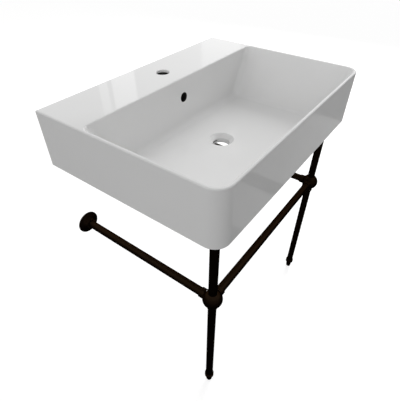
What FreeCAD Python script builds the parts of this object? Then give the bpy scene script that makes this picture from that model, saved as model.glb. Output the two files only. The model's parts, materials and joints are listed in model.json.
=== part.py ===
import FreeCAD
import Part
import math
import os

from FreeCAD import Vector

# Console sink: a glazed ceramic basin carried by the wall and by a front stand of round tube.
# Millimetres, +Z up, the front faces -Y. The wall is the plane y = 0, and the origin lies on it,
# midway between the basin's two wall bolts.

# Overall sizes
BASIN_WIDTH = 686.0
BASIN_DEPTH = 499.0
RIM_HEIGHT = 822.0
SKIRT_HEIGHT = 145.5
WALL_BOLT_DROP = 65.0

# Basin walls
DECK_DEPTH = 145.0
DECK_THICKNESS = 13.0
RIM_WIDTH = 7.0
RIM_ROUNDING = 3.0
SKIRT_WALL = 10.0
SKIRT_EDGE_ROUNDING = 2.0
SHELL_WALL = 9.0
FRONT_CORNER_RADIUS = 37.0

# Bowl: a lean is the inward run of a wall for each millimetre of depth
BOWL_DEPTH = 134.0
FLOOR_FALL = 3.3
END_LEAN = 0.55
REAR_LEAN = 0.06
FRONT_LEAN = 0.30
REAR_CORNER_RADIUS = 18.0
FRONT_BOWL_CORNER_RADIUS = 30.0
FOOT_CORNER_RADIUS = 32.0
FOOT_FILLET = 18.0
DISH_MARGIN = 2.0

# Drain, tap hole and wall bolts
DRAIN_FROM_WALL = 274.0
DRAIN_BORE_RADIUS = 22.5
DRAIN_BORE_LENGTH = 13.0
DRAIN_RECESS_RADIUS = 34.0
DRAIN_RECESS_DEPTH = 10.4
DRAIN_FLAT_MARGIN = 8.0
DRAIN_BOSS_WALL = 13.5
TAP_FROM_WALL = 76.0
TAP_BORE_RADIUS = 17.5
WALL_BOLT_SPACING = 280.0
WALL_BOLT_RADIUS = 7.0

# Overflow: a round hole, a flat duct behind the bowl and a low duct below its floor
OVERFLOW_DROP = 52.5
OVERFLOW_RADIUS = 12.75
OVERFLOW_ROUNDING = 1.5
DUCT_SIDE_MARGIN = 1.25
DUCT_DEPTH = 11.0
DUCT_WALL = 7.0
LOW_DUCT_WIDTH = 22.0
LOW_DUCT_HEIGHT = 5.5
LOW_DUCT_BASE = 4.0

# Stand
TUBE_DIAMETER = 22.2
TUBE_WALL = 1.2
LEG_FROM_SIDE = 50.0
LEG_FROM_FRONT = 43.0
RAIL_DROP = 378.0
FIT = 0.05
SLIDE_GAP = 0.3

# Ball joints
BALL_RADIUS = 25.4
SOCKET_COLLAR_RADIUS = 13.4
SOCKET_COLLAR_REACH = 35.0
SOCKET_COLLAR_ROUNDING = 1.4
SOCKET_FLOOR = 14.0

# Leg tops
LEG_PAD_RADIUS = 19.0
LEG_PAD_MARGIN = 1.0
CUSHION_RADIUS = 16.0
CUSHION_THICKNESS = 4.0
CUSHION_LIP = 2.0
CAP_FLANGE_RADIUS = 13.0
CAP_FLANGE_THICKNESS = 4.0
CAP_PLUG_LENGTH = 20.0

# Wall ends of the side rails
PLATE_RADIUS = 24.0
PLATE_THICKNESS = 3.0
SPIGOT_LENGTH = 30.0
PLATE_SCREW_CIRCLE = 36.0
PLATE_SCREW_COUNT = 3
PLATE_SCREW_RADIUS = 2.6
FLANGE_RADIUS = 33.0
FLANGE_RIM = 3.5
FLANGE_HEIGHT = 16.0
FLANGE_HUB_RADIUS = 16.0
FLANGE_SKIN = 2.2
FLANGE_PLATE_GAP = 0.8
RING_WALL = 2.0
RING_WIDTH = 3.0
RING_GAP = 0.1
RING_FROM_WALL = 9.5

# Feet
FOOT_REACH = 26.0
FOOT_COLLAR_RADIUS = 14.0
FOOT_COLLAR_HEIGHT = 14.0
FOOT_COLLAR_ROUNDING = 3.0
FOOT_COLLAR_SHOULDER = 5.0
FOOT_TIP_RADIUS = 9.0
FOOT_TIP_ROUNDING = 0.8
FOOT_TRAVEL = 12.0
FOOT_TIP_COVER = 5.0
GLIDE_RADIUS = 8.0
GLIDE_THICKNESS = 3.0
GLIDE_PIN_RADIUS = 3.0
GLIDE_PIN_LENGTH = 7.0
STEM_RADIUS = 4.0
STEM_SEAT = 18.0
INSERT_LENGTH = 20.0
INSERT_CLEARANCE = 2.0

# Grub screws
GRUB_RADIUS = 2.0
GRUB_SOCKET_RADIUS = 1.1
GRUB_SOCKET_DEPTH = 1.0
GRUB_IN_SPIGOT = 6.0
GRUB_FROM_SOCKET_END = 5.0
GRUB_UPPER_HEIGHT = 18.0
GRUB_FROM_WALL = 13.0

# Places that follow from the sizes above
RIM_Z = WALL_BOLT_DROP
SKIRT_Z = RIM_Z - SKIRT_HEIGHT
FLOOR_Z = RIM_Z - RIM_HEIGHT
RAIL_Z = RIM_Z - RAIL_DROP
LEG_X = BASIN_WIDTH / 2 - LEG_FROM_SIDE
LEG_Y = LEG_FROM_FRONT - BASIN_DEPTH
TUBE_RADIUS = TUBE_DIAMETER / 2
TUBE_BORE_RADIUS = TUBE_RADIUS - TUBE_WALL
SUMP_DEPTH = BOWL_DEPTH + FLOOR_FALL
DRAIN_BASE_Z = RIM_Z - SUMP_DEPTH - DRAIN_RECESS_DEPTH - DRAIN_BORE_LENGTH
BOWL_HALF_WIDTH = BASIN_WIDTH / 2 - RIM_WIDTH
END_WALL_OFFSET = SHELL_WALL * math.hypot(1, END_LEAN)
LEG_PAD_DEPTH = LEG_PAD_MARGIN + (
    BOWL_HALF_WIDTH + END_WALL_OFFSET - LEG_X + LEG_PAD_RADIUS) / END_LEAN
LEG_TOP_Z = RIM_Z - LEG_PAD_DEPTH - CUSHION_THICKNESS - CAP_FLANGE_THICKNESS
COLLAR_BASE_Z = FLOOR_Z + FOOT_REACH
LEG_BASE_Z = COLLAR_BASE_Z + FOOT_COLLAR_SHOULDER
TIP_TOP_Z = COLLAR_BASE_Z + FOOT_TRAVEL + FOOT_TIP_COVER
STEM_BASE_Z = TIP_TOP_Z - STEM_SEAT
INSERT_BASE_Z = TIP_TOP_Z + FOOT_TRAVEL + INSERT_CLEARANCE
STEM_TOP_Z = INSERT_BASE_Z + INSERT_LENGTH + FOOT_TRAVEL

UP = Vector(0, 0, 1)
DOWN = Vector(0, 0, -1)
TO_WALL = Vector(0, 1, 0)
FROM_WALL = Vector(0, -1, 0)
SIDES = (("left", -1), ("right", 1))


def block(x_low, x_high, y_low, y_high, z_low, z_high):
    size = (x_high - x_low, y_high - y_low, z_high - z_low)
    return Part.makeBox(*size, Vector(x_low, y_low, z_low))


def rod(radius, length, base, direction):
    return Part.makeCylinder(radius, length, base, direction)


def pipe(radius, bore_radius, length, base, direction):
    return rod(radius, length, base, direction).cut(rod(bore_radius, length, base, direction))


def circles_at(shape, point, direction):
    """The circular edges of a shape whose centre lies in the plane through a point."""
    found = []
    for edge in shape.Edges:
        if isinstance(edge.Curve, Part.Circle):
            height = (edge.Curve.Center - point).dot(direction)
            if abs(height) < 1e-6:
                found.append(edge)
    return found


def rounded_rod(radius, length, base, direction, rounding):
    """A rod whose far end has a rounded edge."""
    body = rod(radius, length, base, direction)
    end = base + direction * length
    return body.makeFillet(rounding, circles_at(body, end, direction))


def turned(profile, base, direction):
    """Revolve a closed profile of (radius, height) edges about a line."""
    face = Part.Face(Part.Wire(profile))
    body = face.revolve(Vector(0, 0, 0), UP, 360)
    body.Placement = FreeCAD.Placement(base, FreeCAD.Rotation(UP, direction))
    return body


def at(radius, height):
    return Vector(radius, 0, height)


def path(points):
    """Straight edges through points, as part of a turned profile."""
    return [Part.makeLine(start, end) for start, end in zip(points, points[1:])]


def curve(start, middle, end):
    return Part.Arc(start, middle, end).toShape()


def rounded_outline(half_width, rear_y, front_y, rear_radius, front_radius, z):
    """A rectangle with rounded corners, in the plane of height z."""
    corners = (
        (half_width, rear_y, rear_radius, 0),
        (-half_width, rear_y, rear_radius, 90),
        (-half_width, front_y, front_radius, 180),
        (half_width, front_y, front_radius, 270),
    )
    arcs = []
    for x, y, radius, start_angle in corners:
        centre = Vector(x - math.copysign(radius, x), y, z)
        centre.y += -radius if y == rear_y else radius
        circle = Part.Circle(centre, UP, radius)
        start = math.radians(start_angle)
        arcs.append(Part.ArcOfCircle(circle, start, start + math.pi / 2).toShape())
    edges = []
    for arc, following in zip(arcs, arcs[1:] + arcs[:1]):
        edges.append(arc)
        edges.append(Part.makeLine(arc.lastVertex().Point, following.firstVertex().Point))
    return Part.Wire(edges)


def skirt_solid(inset, rear_inset, low_z, high_z):
    """The straight-sided block of the basin, drawn in by an inset."""
    half = BASIN_WIDTH / 2 - inset
    front = inset - BASIN_DEPTH
    radius = FRONT_CORNER_RADIUS - inset
    diagonal = radius * (1 - math.sqrt(0.5))
    rear_right = Vector(half, -rear_inset, low_z)
    rear_left = Vector(-half, -rear_inset, low_z)
    left_start = Vector(-half, front + radius, low_z)
    left_middle = Vector(diagonal - half, front + diagonal, low_z)
    left_end = Vector(radius - half, front, low_z)
    right_start = Vector(half - radius, front, low_z)
    right_middle = Vector(half - diagonal, front + diagonal, low_z)
    right_end = Vector(half, front + radius, low_z)
    edges = path([rear_right, rear_left, left_start])
    edges.append(curve(left_start, left_middle, left_end))
    edges += path([left_end, right_start])
    edges.append(curve(right_start, right_middle, right_end))
    edges += path([right_end, rear_right])
    return Part.Face(Part.Wire(edges)).extrude(Vector(0, 0, high_z - low_z))


def level_edges(shape, z):
    """The edges of a shape that lie wholly at one height."""
    found = []
    for edge in shape.Edges:
        box = edge.BoundBox
        if abs(box.ZMin - z) < 1e-3 and abs(box.ZMax - z) < 1e-3:
            found.append(edge)
    return found


def edges_round(shape, centre):
    """The edges of a shape that run round a point."""
    return [edge for edge in shape.Edges if (edge.BoundBox.Center - centre).Length < FIT]


def bowl_outline(depth, offset):
    """The bowl's plan at a depth below the rim, moved outwards by an offset."""
    share = depth / BOWL_DEPTH
    rear_radius = REAR_CORNER_RADIUS + share * (FOOT_CORNER_RADIUS - REAR_CORNER_RADIUS)
    front_radius = FRONT_BOWL_CORNER_RADIUS + share * (FOOT_CORNER_RADIUS - FRONT_BOWL_CORNER_RADIUS)
    return rounded_outline(
        BOWL_HALF_WIDTH - END_LEAN * depth + offset * math.hypot(1, END_LEAN),
        -DECK_DEPTH - REAR_LEAN * depth + offset * math.hypot(1, REAR_LEAN),
        RIM_WIDTH - BASIN_DEPTH + FRONT_LEAN * depth - offset * math.hypot(1, FRONT_LEAN),
        rear_radius + offset,
        front_radius + offset,
        RIM_Z - depth)


def drain_outline(depth):
    """The flat square with round corners in which the drain is sunk."""
    half = DRAIN_RECESS_RADIUS + DRAIN_FLAT_MARGIN
    radius = DRAIN_RECESS_RADIUS
    return rounded_outline(
        half, half - DRAIN_FROM_WALL, -half - DRAIN_FROM_WALL, radius, radius, RIM_Z - depth)


def dish_outline(depth):
    """The plan of the shallow dish in the floor, clear of the rounding at the foot of the walls."""
    inset = FOOT_FILLET + DISH_MARGIN
    radius = FOOT_CORNER_RADIUS - inset
    return rounded_outline(
        BOWL_HALF_WIDTH - END_LEAN * BOWL_DEPTH - inset,
        -DECK_DEPTH - REAR_LEAN * BOWL_DEPTH - inset,
        RIM_WIDTH - BASIN_DEPTH + FRONT_LEAN * BOWL_DEPTH + inset,
        radius, radius, RIM_Z - depth)


def bowl_solid(offset):
    """The bowl's hollow: leaning walls whose corners open out towards a floor that falls to the drain."""
    foot_depth = BOWL_DEPTH + offset
    body = Part.makeLoft([bowl_outline(0, offset), bowl_outline(foot_depth, offset)], True, True)
    body = body.makeFillet(FOOT_FILLET + offset, level_edges(body, RIM_Z - foot_depth))
    dish = Part.makeLoft([dish_outline(foot_depth), drain_outline(SUMP_DEPTH + offset)], True, True)
    return body.fuse(dish)


def overflow_ducts(margin, top_z, base_z):
    """The upright duct behind the bowl and the low duct below its floor, widened by a margin."""
    half_width = OVERFLOW_RADIUS + DUCT_SIDE_MARGIN + margin
    front = SHELL_WALL - DECK_DEPTH
    rear = front + DUCT_DEPTH + margin
    upright = block(-half_width, half_width, front, rear, base_z, top_z)
    low_half = LOW_DUCT_WIDTH / 2 + margin
    low_top = DRAIN_BASE_Z + LOW_DUCT_BASE + LOW_DUCT_HEIGHT + margin
    low = block(-low_half, low_half, -DRAIN_FROM_WALL, rear, base_z, low_top)
    return upright.fuse(low)


def make_basin():
    drain = Vector(0, -DRAIN_FROM_WALL, DRAIN_BASE_Z)
    outside = skirt_solid(0, 0, SKIRT_Z, RIM_Z)
    outside = outside.makeFillet(RIM_ROUNDING, level_edges(outside, RIM_Z))
    outside = outside.makeFillet(SKIRT_EDGE_ROUNDING, level_edges(outside, SKIRT_Z))
    hollow = skirt_solid(SKIRT_WALL, SKIRT_WALL, SKIRT_Z, RIM_Z - DECK_THICKNESS)

    boss_radius = DRAIN_BORE_RADIUS + DRAIN_BOSS_WALL
    boss = rod(boss_radius, DRAIN_RECESS_DEPTH + DRAIN_BORE_LENGTH, drain, UP)
    shell = bowl_solid(SHELL_WALL).fuse(boss)
    shell = shell.fuse(overflow_ducts(DUCT_WALL, RIM_Z - DECK_THICKNESS / 2, DRAIN_BASE_Z))
    for name, side in SIDES:
        pad = Vector(side * LEG_X, LEG_Y, RIM_Z - LEG_PAD_DEPTH)
        shell = shell.fuse(rod(LEG_PAD_RADIUS, LEG_PAD_DEPTH - DECK_THICKNESS, pad, UP))
    inside = skirt_solid(SKIRT_WALL / 2, SKIRT_WALL / 2, DRAIN_BASE_Z, RIM_Z - DECK_THICKNESS / 2)
    basin = outside.cut(hollow).fuse(shell.common(inside))

    basin = basin.cut(bowl_solid(0))
    basin = basin.makeFillet(RIM_ROUNDING, rim_edges(basin))
    recess = Part.makeCone(
        DRAIN_BORE_RADIUS, DRAIN_RECESS_RADIUS, DRAIN_RECESS_DEPTH,
        drain + UP * DRAIN_BORE_LENGTH, UP)
    bore = rod(DRAIN_BORE_RADIUS, DRAIN_BORE_LENGTH, drain, UP)
    basin = basin.cut(recess).cut(bore)
    tap = Vector(0, -TAP_FROM_WALL, RIM_Z)
    basin = basin.cut(rod(TAP_BORE_RADIUS, DECK_THICKNESS, tap, DOWN))
    basin = basin.makeFillet(RIM_ROUNDING, circles_at(basin, tap, UP))

    overflow = Vector(0, -DECK_DEPTH - SHELL_WALL, RIM_Z - OVERFLOW_DROP)
    mouth = rod(OVERFLOW_RADIUS, 2 * SHELL_WALL + DUCT_DEPTH, overflow, TO_WALL)
    passage_top = overflow.z + OVERFLOW_RADIUS + DUCT_SIDE_MARGIN
    passage = overflow_ducts(0, passage_top, DRAIN_BASE_Z + LOW_DUCT_BASE)
    basin = basin.cut(passage.fuse(mouth))
    lip = Vector(0, -DECK_DEPTH - REAR_LEAN * OVERFLOW_DROP, overflow.z)
    basin = basin.makeFillet(OVERFLOW_ROUNDING, edges_round(basin, lip))
    for side in (-1, 1):
        bolt = Vector(side * WALL_BOLT_SPACING / 2, 0, 0)
        basin = basin.cut(rod(WALL_BOLT_RADIUS, SKIRT_WALL, bolt, FROM_WALL))
    return basin


def rim_edges(basin):
    """The edges where the bowl opens in the rim, which are not yet rounded."""
    limit = BOWL_HALF_WIDTH + RIM_WIDTH / 4
    found = []
    for edge in level_edges(basin, RIM_Z):
        box = edge.BoundBox
        reaches_bowl = box.YMax < RIM_WIDTH - DECK_DEPTH
        clear_of_front = box.YMin > RIM_WIDTH * 3 / 4 - BASIN_DEPTH
        if reaches_bowl and clear_of_front and max(-box.XMin, box.XMax) < limit:
            found.append(edge)
    return found


def grub_screw(tip, direction, length):
    """A plain set screw with a driving socket in its outer end."""
    body = rod(GRUB_RADIUS - FIT, length, tip, direction)
    mouth = tip + direction * length
    return body.cut(rod(GRUB_SOCKET_RADIUS, GRUB_SOCKET_DEPTH, mouth, -direction))


def socket_directions(side):
    """The ways in which tubes leave a ball joint, each with the side that its grub screw is on."""
    to_middle = Vector(-side, 0, 0)
    return ((to_middle, TO_WALL), (TO_WALL, DOWN), (DOWN, TO_WALL))


def ball_centre(side):
    return Vector(side * LEG_X, LEG_Y, RAIL_Z)


def socket_grub_places(side):
    """Tip point, direction and length of each grub screw in one ball joint."""
    centre = ball_centre(side)
    places = []
    for direction, screw_side in socket_directions(side):
        reach = SOCKET_COLLAR_REACH - GRUB_FROM_SOCKET_END
        tip = centre + direction * reach + screw_side * (TUBE_RADIUS + FIT)
        places.append((tip, screw_side, SOCKET_COLLAR_RADIUS - TUBE_RADIUS - FIT))
    tip = centre + UP * GRUB_UPPER_HEIGHT + TO_WALL * (TUBE_RADIUS + FIT)
    skin = math.sqrt(BALL_RADIUS ** 2 - GRUB_UPPER_HEIGHT ** 2)
    places.append((tip, TO_WALL, skin - TUBE_RADIUS - FIT))
    return places


def plate_grub_place(side):
    """Tip point, direction and length of the grub screw that locks a side rail to its wall plate."""
    tip = Vector(side * LEG_X, -GRUB_FROM_WALL, RAIL_Z - TUBE_RADIUS + GRUB_IN_SPIGOT)
    return tip, DOWN, GRUB_IN_SPIGOT


def make_ball_joint(side):
    centre = ball_centre(side)
    body = Part.makeSphere(BALL_RADIUS, centre)
    bores = [rod(TUBE_RADIUS + FIT, BALL_RADIUS, centre + UP * SOCKET_FLOOR, UP)]
    for direction, screw_side in socket_directions(side):
        collar = rounded_rod(
            SOCKET_COLLAR_RADIUS, SOCKET_COLLAR_REACH, centre, direction, SOCKET_COLLAR_ROUNDING)
        body = body.fuse(collar)
        seat = centre + direction * SOCKET_FLOOR
        bores.append(rod(TUBE_RADIUS + FIT, SOCKET_COLLAR_REACH - SOCKET_FLOOR, seat, direction))
    for tip, direction, length in socket_grub_places(side):
        bores.append(rod(GRUB_RADIUS, length + BALL_RADIUS - TUBE_RADIUS, tip - direction * FIT, direction))
    return body.cut(bores)


def make_upper_leg(side):
    base = ball_centre(side) + UP * SOCKET_FLOOR
    return pipe(TUBE_RADIUS, TUBE_BORE_RADIUS, LEG_TOP_Z - base.z, base, UP)


def make_lower_leg(side):
    top = ball_centre(side) + DOWN * SOCKET_FLOOR
    return pipe(TUBE_RADIUS, TUBE_BORE_RADIUS, top.z - LEG_BASE_Z, top, DOWN)


def make_front_rail():
    start = ball_centre(-1) + Vector(SOCKET_FLOOR, 0, 0)
    length = 2 * (LEG_X - SOCKET_FLOOR)
    return pipe(TUBE_RADIUS, TUBE_BORE_RADIUS, length, start, Vector(1, 0, 0))


def make_side_rail(side):
    start = ball_centre(side) + TO_WALL * SOCKET_FLOOR
    length = -PLATE_THICKNESS - start.y
    rail = pipe(TUBE_RADIUS, TUBE_BORE_RADIUS, length, start, TO_WALL)
    tip, direction, depth = plate_grub_place(side)
    return rail.cut(rod(GRUB_RADIUS, depth + FIT, tip, direction))


def make_wall_plate(side):
    wall = Vector(side * LEG_X, 0, RAIL_Z)
    plate = rod(PLATE_RADIUS, PLATE_THICKNESS, wall, FROM_WALL)
    spigot_length = PLATE_THICKNESS + SPIGOT_LENGTH
    plate = plate.fuse(rod(TUBE_BORE_RADIUS - FIT, spigot_length, wall, FROM_WALL))
    for index in range(PLATE_SCREW_COUNT):
        angle = math.radians(90) + 2 * math.pi * index / PLATE_SCREW_COUNT
        place = Vector(math.cos(angle), 0, math.sin(angle)) * (PLATE_SCREW_CIRCLE / 2)
        plate = plate.cut(rod(PLATE_SCREW_RADIUS, PLATE_THICKNESS, wall + place, FROM_WALL))
    tip, direction, depth = plate_grub_place(side)
    return plate.cut(rod(GRUB_RADIUS, depth, tip, direction))


def make_wall_flange(side):
    """A domed cover: a rounded rim at the wall, a hollow waist and a hub that rides on the rail."""
    wall = Vector(side * LEG_X, 0, RAIL_Z)
    bore = TUBE_RADIUS + SLIDE_GAP
    groove = TUBE_RADIUS + RING_GAP + RING_WALL + RING_GAP
    groove_low = RING_FROM_WALL - RING_WIDTH / 2 - RING_GAP
    groove_high = RING_FROM_WALL + RING_WIDTH / 2 + RING_GAP
    rim_round = FLANGE_RIM / 2
    hub_round = FLANGE_SKIN / 2
    bend = math.sqrt(0.5)
    rim_start = at(FLANGE_RADIUS, rim_round)
    rim_middle = at(FLANGE_RADIUS - rim_round * (1 - bend), rim_round * (1 + bend))
    rim_end = at(FLANGE_RADIUS - rim_round, FLANGE_RIM)
    waist_end = at(FLANGE_HUB_RADIUS, FLANGE_HEIGHT - hub_round)
    chord = waist_end - rim_end
    hollow_way = Vector(chord.z, 0, -chord.x).normalize()
    waist_middle = (rim_end + waist_end) * 0.5 - hollow_way * FLANGE_SKIN
    hub_middle = at(FLANGE_HUB_RADIUS - hub_round * (1 - bend), FLANGE_HEIGHT - hub_round * (1 - bend))
    hub_end = at(FLANGE_HUB_RADIUS - hub_round, FLANGE_HEIGHT)
    cavity = PLATE_RADIUS + FLANGE_PLATE_GAP
    ceiling = PLATE_THICKNESS + FLANGE_PLATE_GAP
    profile = path([at(cavity, 0), at(FLANGE_RADIUS, 0), rim_start])
    profile.append(curve(rim_start, rim_middle, rim_end))
    profile.append(curve(rim_end, waist_middle, waist_end))
    profile.append(curve(waist_end, hub_middle, hub_end))
    profile += path([
        hub_end, at(bore, FLANGE_HEIGHT), at(bore, groove_high), at(groove, groove_high),
        at(groove, groove_low), at(bore, groove_low), at(bore, ceiling), at(cavity, ceiling),
        at(cavity, 0)])
    return turned(profile, wall, FROM_WALL)


def make_flange_ring(side):
    low = RING_FROM_WALL - RING_WIDTH / 2
    base = Vector(side * LEG_X, -low, RAIL_Z)
    inner = TUBE_RADIUS + RING_GAP
    return pipe(inner + RING_WALL, inner, RING_WIDTH, base, FROM_WALL)


def make_leg_cap(side):
    top = Vector(side * LEG_X, LEG_Y, LEG_TOP_Z)
    flange = rod(CAP_FLANGE_RADIUS, CAP_FLANGE_THICKNESS, top, UP)
    return flange.fuse(rod(TUBE_BORE_RADIUS - FIT, CAP_PLUG_LENGTH, top, DOWN))


def make_leg_cushion(side):
    """A rubber cup that sits over the leg cap's flange and bears on the ceramic pad."""
    seat = Vector(side * LEG_X, LEG_Y, LEG_TOP_Z + CAP_FLANGE_THICKNESS)
    low = seat + DOWN * CUSHION_LIP
    cup = rod(CUSHION_RADIUS, CUSHION_LIP + CUSHION_THICKNESS, low, UP)
    return cup.cut(rod(CAP_FLANGE_RADIUS + FIT, CUSHION_LIP, low, UP))


def make_foot_collar(side):
    base = Vector(side * LEG_X, LEG_Y, COLLAR_BASE_Z)
    collar = rod(FOOT_COLLAR_RADIUS, FOOT_COLLAR_HEIGHT, base, UP)
    ends = circles_at(collar, base, UP) + circles_at(collar, base + UP * FOOT_COLLAR_HEIGHT, UP)
    collar = collar.makeFillet(FOOT_COLLAR_ROUNDING / 2, ends)
    socket = base + UP * FOOT_COLLAR_SHOULDER
    collar = collar.cut(rod(TUBE_RADIUS + FIT, FOOT_COLLAR_HEIGHT, socket, UP))
    return collar.cut(rod(FOOT_TIP_RADIUS + SLIDE_GAP, FOOT_COLLAR_SHOULDER, base, UP))


def make_foot_insert(side):
    base = Vector(side * LEG_X, LEG_Y, INSERT_BASE_Z)
    return pipe(TUBE_BORE_RADIUS - FIT, STEM_RADIUS, INSERT_LENGTH, base, UP)


def make_foot_stem(side):
    base = Vector(side * LEG_X, LEG_Y, STEM_BASE_Z)
    return rod(STEM_RADIUS - FIT, STEM_TOP_Z - STEM_BASE_Z, base, UP)


def make_foot_tip(side):
    base = Vector(side * LEG_X, LEG_Y, FLOOR_Z + GLIDE_THICKNESS)
    top = Vector(side * LEG_X, LEG_Y, TIP_TOP_Z)
    tip = rounded_rod(FOOT_TIP_RADIUS, top.z - base.z, top, DOWN, FOOT_TIP_ROUNDING)
    tip = tip.cut(rod(STEM_RADIUS, STEM_SEAT, top, DOWN))
    return tip.cut(rod(GLIDE_PIN_RADIUS + FIT, GLIDE_PIN_LENGTH + FIT, base, UP))


def make_foot_glide(side):
    """A plastic disc that stays still on the floor while the tip turns on its pin."""
    top = Vector(side * LEG_X, LEG_Y, FLOOR_Z + GLIDE_THICKNESS - FIT)
    disc = rounded_rod(GLIDE_RADIUS, GLIDE_THICKNESS - FIT, top, DOWN, FOOT_TIP_ROUNDING)
    return disc.fuse(rod(GLIDE_PIN_RADIUS, GLIDE_PIN_LENGTH, top, UP))


def make_grub_screws():
    screws = []
    for name, side in SIDES:
        for place in socket_grub_places(side) + [plate_grub_place(side)]:
            screws.append(grub_screw(*place))
    return Part.makeCompound(screws)


PAIRED_PIECES = {
    "upper_leg": make_upper_leg,
    "lower_leg": make_lower_leg,
    "ball_joint": make_ball_joint,
    "side_rail": make_side_rail,
    "wall_plate": make_wall_plate,
    "wall_flange": make_wall_flange,
    "flange_ring": make_flange_ring,
    "leg_cap": make_leg_cap,
    "leg_cushion": make_leg_cushion,
    "foot_collar": make_foot_collar,
    "foot_insert": make_foot_insert,
    "foot_stem": make_foot_stem,
    "foot_tip": make_foot_tip,
    "foot_glide": make_foot_glide,
}

pieces = {
    "basin": make_basin(),
    "front_rail": make_front_rail(),
    "grub_screws": make_grub_screws(),
}
for piece_name, make_piece in PAIRED_PIECES.items():
    for side_name, side_sign in SIDES:
        pieces[f"{piece_name}_{side_name}"] = make_piece(side_sign)

os.makedirs("parts", exist_ok=True)
for node, shape in pieces.items():
    shape.exportStep(f"parts/{node}.step")
    print(node, len(shape.Solids), "solid", round(shape.Volume / 1000, 2), "cm3", shape.isValid())
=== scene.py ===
# %% [markdown]
# # A console sink, dressed for the camera
#
# The sink is a glazed ceramic basin. The wall holds its back and a dark tube stand holds its front.
# Its pieces already exist as measured solids, so this lesson never moves or resizes them. It models
# finer pieces in the same places, gives every surface a finish and sets up the photograph's view.
# We start by loading the solids, which arrive in metres with +Z up and the wall at y = 0.

# %% Load the measured solids
import json
import math

import bmesh
import bpy
from mathutils import Matrix, Vector


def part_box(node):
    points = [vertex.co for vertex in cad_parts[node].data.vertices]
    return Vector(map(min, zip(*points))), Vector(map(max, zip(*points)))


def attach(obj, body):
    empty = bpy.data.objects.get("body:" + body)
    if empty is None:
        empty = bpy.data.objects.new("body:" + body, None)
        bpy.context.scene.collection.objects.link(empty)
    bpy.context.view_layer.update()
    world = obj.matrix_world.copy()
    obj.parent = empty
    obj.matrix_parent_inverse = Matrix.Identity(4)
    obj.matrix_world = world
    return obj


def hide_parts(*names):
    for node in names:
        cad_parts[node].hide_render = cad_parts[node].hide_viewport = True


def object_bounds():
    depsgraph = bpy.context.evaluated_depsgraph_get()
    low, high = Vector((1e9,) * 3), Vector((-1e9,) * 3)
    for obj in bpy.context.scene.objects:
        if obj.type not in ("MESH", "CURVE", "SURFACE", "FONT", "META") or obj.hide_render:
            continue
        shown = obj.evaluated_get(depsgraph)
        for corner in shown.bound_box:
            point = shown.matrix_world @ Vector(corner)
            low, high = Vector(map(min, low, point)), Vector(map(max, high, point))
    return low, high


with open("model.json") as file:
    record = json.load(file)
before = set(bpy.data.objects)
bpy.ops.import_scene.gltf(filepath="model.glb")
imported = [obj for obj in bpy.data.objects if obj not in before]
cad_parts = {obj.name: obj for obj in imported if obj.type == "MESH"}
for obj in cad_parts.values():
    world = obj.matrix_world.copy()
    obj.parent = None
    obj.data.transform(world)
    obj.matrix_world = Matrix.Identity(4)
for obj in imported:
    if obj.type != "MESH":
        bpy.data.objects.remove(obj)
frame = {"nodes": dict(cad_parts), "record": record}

cad_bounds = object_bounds()
nodes = frame["nodes"]
bodies = frame["record"]["behaviour"]["bodies"]
body_of = {node: body for body, members in bodies.items() for node in members}
slot_of = {row["node"]: row["material_slot"] for row in frame["record"]["subparts"]}
print(f"loaded {len(nodes)} solids on {len(bodies)} bodies")

# %% [markdown]
# ## The camera
#
# A camera can be guessed by eye, but straight edges give it away: the basin's long edges, the tubes
# and the feet were fitted to find where the lens stood. The optical axis meets the picture a little
# off its centre, so a small shift moves the frame. Depth of field stays off.

# %% Place the camera
PHOTO_WIDTH = 400
PHOTO_HEIGHT = 401
SENSOR_MM = 36.0
FOCAL_PIXELS = 350.2
AXIS_PIXEL_X = 198.8
AXIS_PIXEL_Y = 206.7
CAMERA_AZIMUTH = math.radians(-53.53)
CAMERA_ELEVATION = math.radians(41.19)
CAMERA_X = -0.7096
CAMERA_Y = -0.7224
CAMERA_ABOVE_RIM = 0.3507
CAMERA_SEES_TO = 50.0

scene = bpy.context.scene
basin_low, basin_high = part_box("basin")
rim_z = basin_high.z
floor_z = cad_bounds[0][2]


def place_camera():
    lens = bpy.data.cameras.new("photo_camera")
    lens.sensor_width = SENSOR_MM
    long_side = max(PHOTO_WIDTH, PHOTO_HEIGHT)
    lens.lens = SENSOR_MM * FOCAL_PIXELS / long_side
    lens.shift_x = (PHOTO_WIDTH / 2 - AXIS_PIXEL_X) / long_side
    lens.shift_y = (AXIS_PIXEL_Y - PHOTO_HEIGHT / 2) / long_side
    lens.clip_end = CAMERA_SEES_TO
    camera = bpy.data.objects.new("photo_camera", lens)
    scene.collection.objects.link(camera)
    camera.location = (CAMERA_X, CAMERA_Y, rim_z + CAMERA_ABOVE_RIM)
    camera.rotation_euler = (math.pi / 2 - CAMERA_ELEVATION, 0.0, CAMERA_AZIMUTH)
    scene.camera = camera
    return camera


camera = place_camera()
print(f"camera lens {camera.data.lens:.2f} mm at {tuple(round(v, 3) for v in camera.location)}")

# %% [markdown]
# ## The studio
#
# The sink was photographed on white under soft light that falls from above and from the left. Many
# lamps could copy that, but a graded sky does it with one number for each direction: bright where
# the light comes from, dim on the far side. The world gives that light to surfaces, and shows white
# to the camera and to reflections, which a Light Path node tells apart. In reflections the white
# fades overhead, like a ceiling, or the glaze in the bowl would show a bright patch of it.

# %% A node helper and the graded sky
SKY_TOWARDS = Vector((-0.87, 0.27, 0.41)).normalized()
SKY_DIM = 0.0
SKY_BRIGHT = 0.92
CEILING_STARTS = 0.42
CEILING_FULL = 0.47
CEILING_FADE = 0.5
WHITE = (1, 1, 1, 1)

scene.view_settings.view_transform = "Standard"


def add_node(tree, kind, sockets=None, **properties):
    """Add a shader node, then set its properties and the values of its input sockets."""
    node = tree.nodes.new(kind)
    for name, value in properties.items():
        setattr(node, name, value)
    for name, value in (sockets or {}).items():
        node.inputs[name].default_value = value
    return node


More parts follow.
